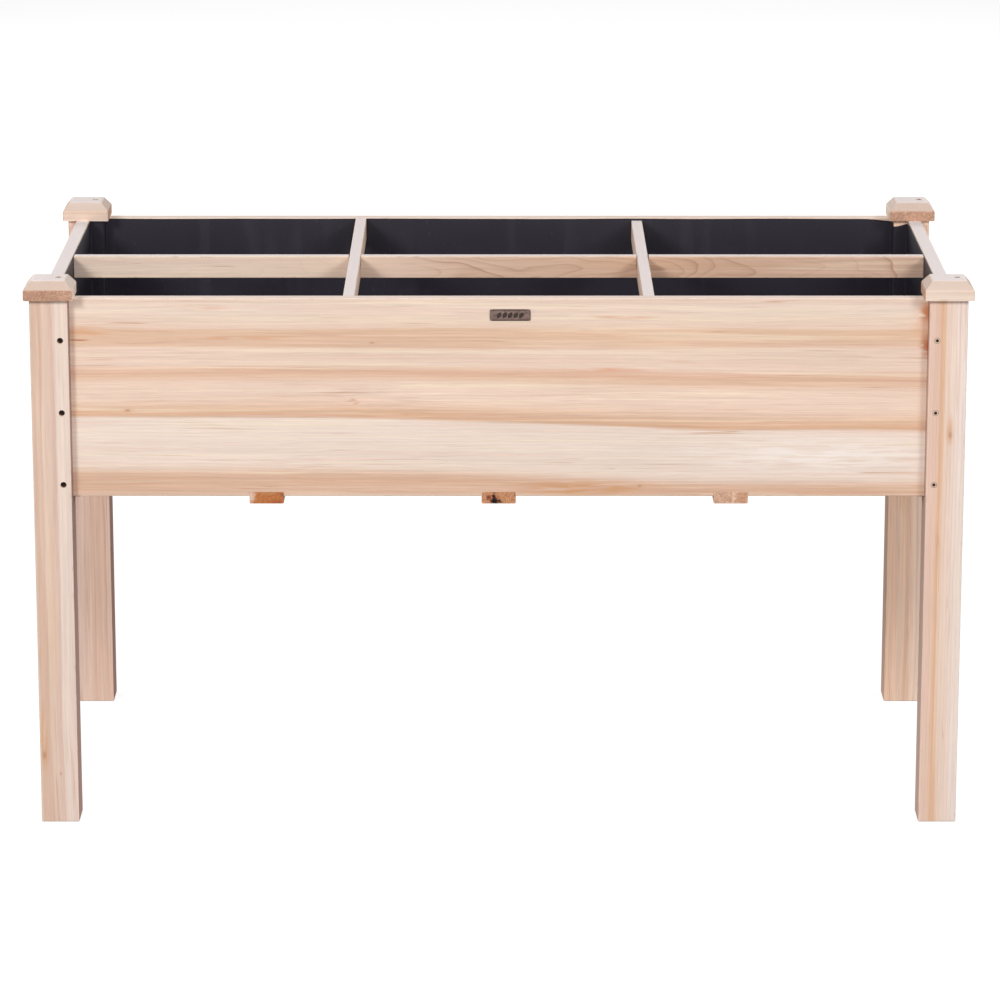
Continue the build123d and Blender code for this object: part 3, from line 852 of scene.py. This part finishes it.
# name, axis that the screws point along, which way out of the wood
screws = (
    ("front_leg_screws", 1, -1),
    ("rear_leg_screws", 1, 1),
    ("left_leg_side_screws", 0, -1),
    ("right_leg_side_screws", 0, 1),
    ("cap_screws", 2, 1),
    ("batten_screws", 2, -1),
    ("end_batten_screws", 2, -1),
    ("divider_screws", 0, 1),
)
for name, axis, outward in screws:
    low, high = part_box(name)
    outer_face = (high if outward > 0 else low)[axis]
    f = Finish(name + "_steel")
    place = f.place()
    parts = f.split(place)
    if name == "divider_screws":
        depth = f.math("SUBTRACT", outer_face, f.math("ABSOLUTE", parts[0]))
    else:
        depth = f.math("MULTIPLY_ADD", parts[axis], -outward, outer_face * outward)
    # Painted shade darkens the cross recess, the deeper the darker.
    recess_shade = f.between(depth, 0.12 * screw_recess_depth, 0.6 * screw_recess_depth)
    wear = f.noise(place, (900, 900, 900), 3.0)
    steel = f.mix(wear, tone(232, 198, 174), tone(252, 228, 208))
    black = f.mix(wear, tone(30, 18, 14), tone(62, 42, 34))
    if "leg" in name:
        # Three rows of heads: painted shade fills each recess and rings each head.
        row_gap = (high.z - low.z - 2 * screw_head) / 2
        across = 1 - axis
        column = high[across] - screw_head
        sideways = f.math("SUBTRACT", f.math("ABSOLUTE", parts[across]), column)
        row = f.math("MULTIPLY_ADD", parts[2], 1 / row_gap, 0.5 - (low.z + screw_head) / row_gap)
        upright = f.math("MULTIPLY", f.math("SUBTRACT", f.math("FRACT", row), 0.5), row_gap)
        squares = f.math("MULTIPLY_ADD", sideways, sideways, f.math("MULTIPLY", upright, upright))
        from_middle = f.math("SQRT", squares)
        rim = f.math("MULTIPLY", f.between(from_middle, screw_head - 0.0009, screw_head - 0.0003), 0.80)
        recess_and_rim_shade = f.math("MAXIMUM", f.between(from_middle, screw_recess, screw_recess - 0.0008), rim)
        recess_shade = f.math("MAXIMUM", recess_shade, recess_and_rim_shade)
    # The painted shade in the recess and round the head is a dark brown.
    steel = f.mix(f.math("MULTIPLY", recess_shade, 0.95), steel, tone(44, 20, 16))
    if name in ("front_leg_screws", "rear_leg_screws"):
        steel = f.mix(f.between(parts[0], 0.02, -0.02), steel, black)
    elif name in ("left_leg_side_screws", "cap_screws"):
        steel = black
    f.shader.inputs["Metallic"].default_value = 0.1
    f.shader.inputs["Specular IOR Level"].default_value = 0.35
    wear_depth = 0.00004
    cover(name, f.finish(steel, f.math("MULTIPLY_ADD", wear, 0.25, 0.42), wear, wear_depth))

# ---------------------------------------------------------------------------
# The place it is shown in: a wide pale lit floor, an even white room and six
# large soft lamps, the strongest one at the front left. The camera stands well
# back with a long lens and looks down into the trough.
# ---------------------------------------------------------------------------
scene.view_settings.view_transform = "Standard"
scene.view_settings.look = "None"

floor_radius = 40.0
floor_shape = bmesh.new()
bmesh.ops.create_circle(floor_shape, cap_ends=True, segments=96, radius=floor_radius)
floor_mesh = bpy.data.meshes.new("floor")
floor_shape.to_mesh(floor_mesh)
floor_shape.free()
floor = bpy.data.objects.new("floor", floor_mesh)
floor.visible_diffuse = False
floor.visible_glossy = False
floor.visible_shadow = False
scene.collection.objects.link(floor)
floor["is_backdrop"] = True

f = Finish("floor_paint")
f.shader.inputs["Base Color"].default_value = (0.25, 0.25, 0.25, 1)
f.shader.inputs["Roughness"].default_value = 0.9
f.shader.inputs["Specular IOR Level"].default_value = 0.0
f.shader.inputs["Emission Color"].default_value = (1, 1, 1, 1)
f.shader.inputs["Emission Strength"].default_value = 0.86
floor_mesh.materials.append(f.material)

room = bpy.data.worlds.new("room")
room.use_nodes = True
room_nodes = room.node_tree.nodes
# The room lights the object softly, and looks brighter to the camera than the light it gives.
room_light = room_nodes["Background"]
room_light.inputs["Color"].default_value = (1.0, 1.0, 1.0, 1)
room_light.inputs["Strength"].default_value = 0.27
seen_wall = room_nodes.new("ShaderNodeBackground")
seen_wall.inputs["Color"].default_value = (1.0, 1.0, 1.0, 1)
seen_wall.inputs["Strength"].default_value = 0.94
ray = room_nodes.new("ShaderNodeLightPath")
either = room_nodes.new("ShaderNodeMixShader")
room.node_tree.links.new(ray.outputs["Is Camera Ray"], either.inputs[0])
room.node_tree.links.new(room_light.outputs[0], either.inputs[1])
room.node_tree.links.new(seen_wall.outputs[0], either.inputs[2])
room.node_tree.links.new(either.outputs[0], room_nodes["World Output"].inputs["Surface"])
scene.world = room

trough_middle = Vector((0, -0.2, 0.5))


def softbox(name, compass, height, distance, side, power, colour):
    """A square area lamp that faces the trough, from so many degrees right of the front and above level."""
    turn, rise = math.radians(compass), math.radians(height)
    way = Vector((math.sin(turn) * math.cos(rise), -math.cos(turn) * math.cos(rise), math.sin(rise)))
    lamp = bpy.data.lights.new(name, "AREA")
    lamp.shape = "SQUARE"
    lamp.size = side
    lamp.energy = power
    lamp.color = colour
    stand = bpy.data.objects.new(name, lamp)
    stand.location = trough_middle + distance * way
    stand.rotation_euler = way.to_track_quat("Z", "Y").to_euler()
    stand.visible_camera = False
    scene.collection.objects.link(stand)


softbox("key_lamp", -38, 28, 7.0, 1.7, 250.0, (1.0, 0.985, 0.97))
softbox("fill_lamp", 42, 28, 7.0, 2.0, 192.0, (1.0, 0.99, 0.98))
softbox("front_lamp", 0, 12, 8.5, 3.0, 96.0, (1.0, 0.99, 0.98))
softbox("top_lamp", 0, 86, 3.8, 2.6, 26.0, (0.94, 0.97, 1.0))
softbox("back_left_lamp", -148, 16, 7.0, 3.0, 150.0, (1.0, 0.99, 0.98))
softbox("back_right_lamp", 148, 16, 7.0, 3.0, 150.0, (1.0, 0.99, 0.98))

camera_data = bpy.data.cameras.new("camera")
camera_data.lens = 163.7
camera_data.sensor_width = 36.0
camera_data.clip_end = 200.0
camera = bpy.data.objects.new("camera", camera_data)
camera_pitch = math.radians(14.15)
camera.location = (0.0017, -6.085, 1.900)
camera.rotation_euler = (math.pi / 2 - camera_pitch, 0, 0)
scene.collection.objects.link(camera)
scene.camera = camera

# The box that the frame fills, and the one that the finished model fills.
low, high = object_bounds()
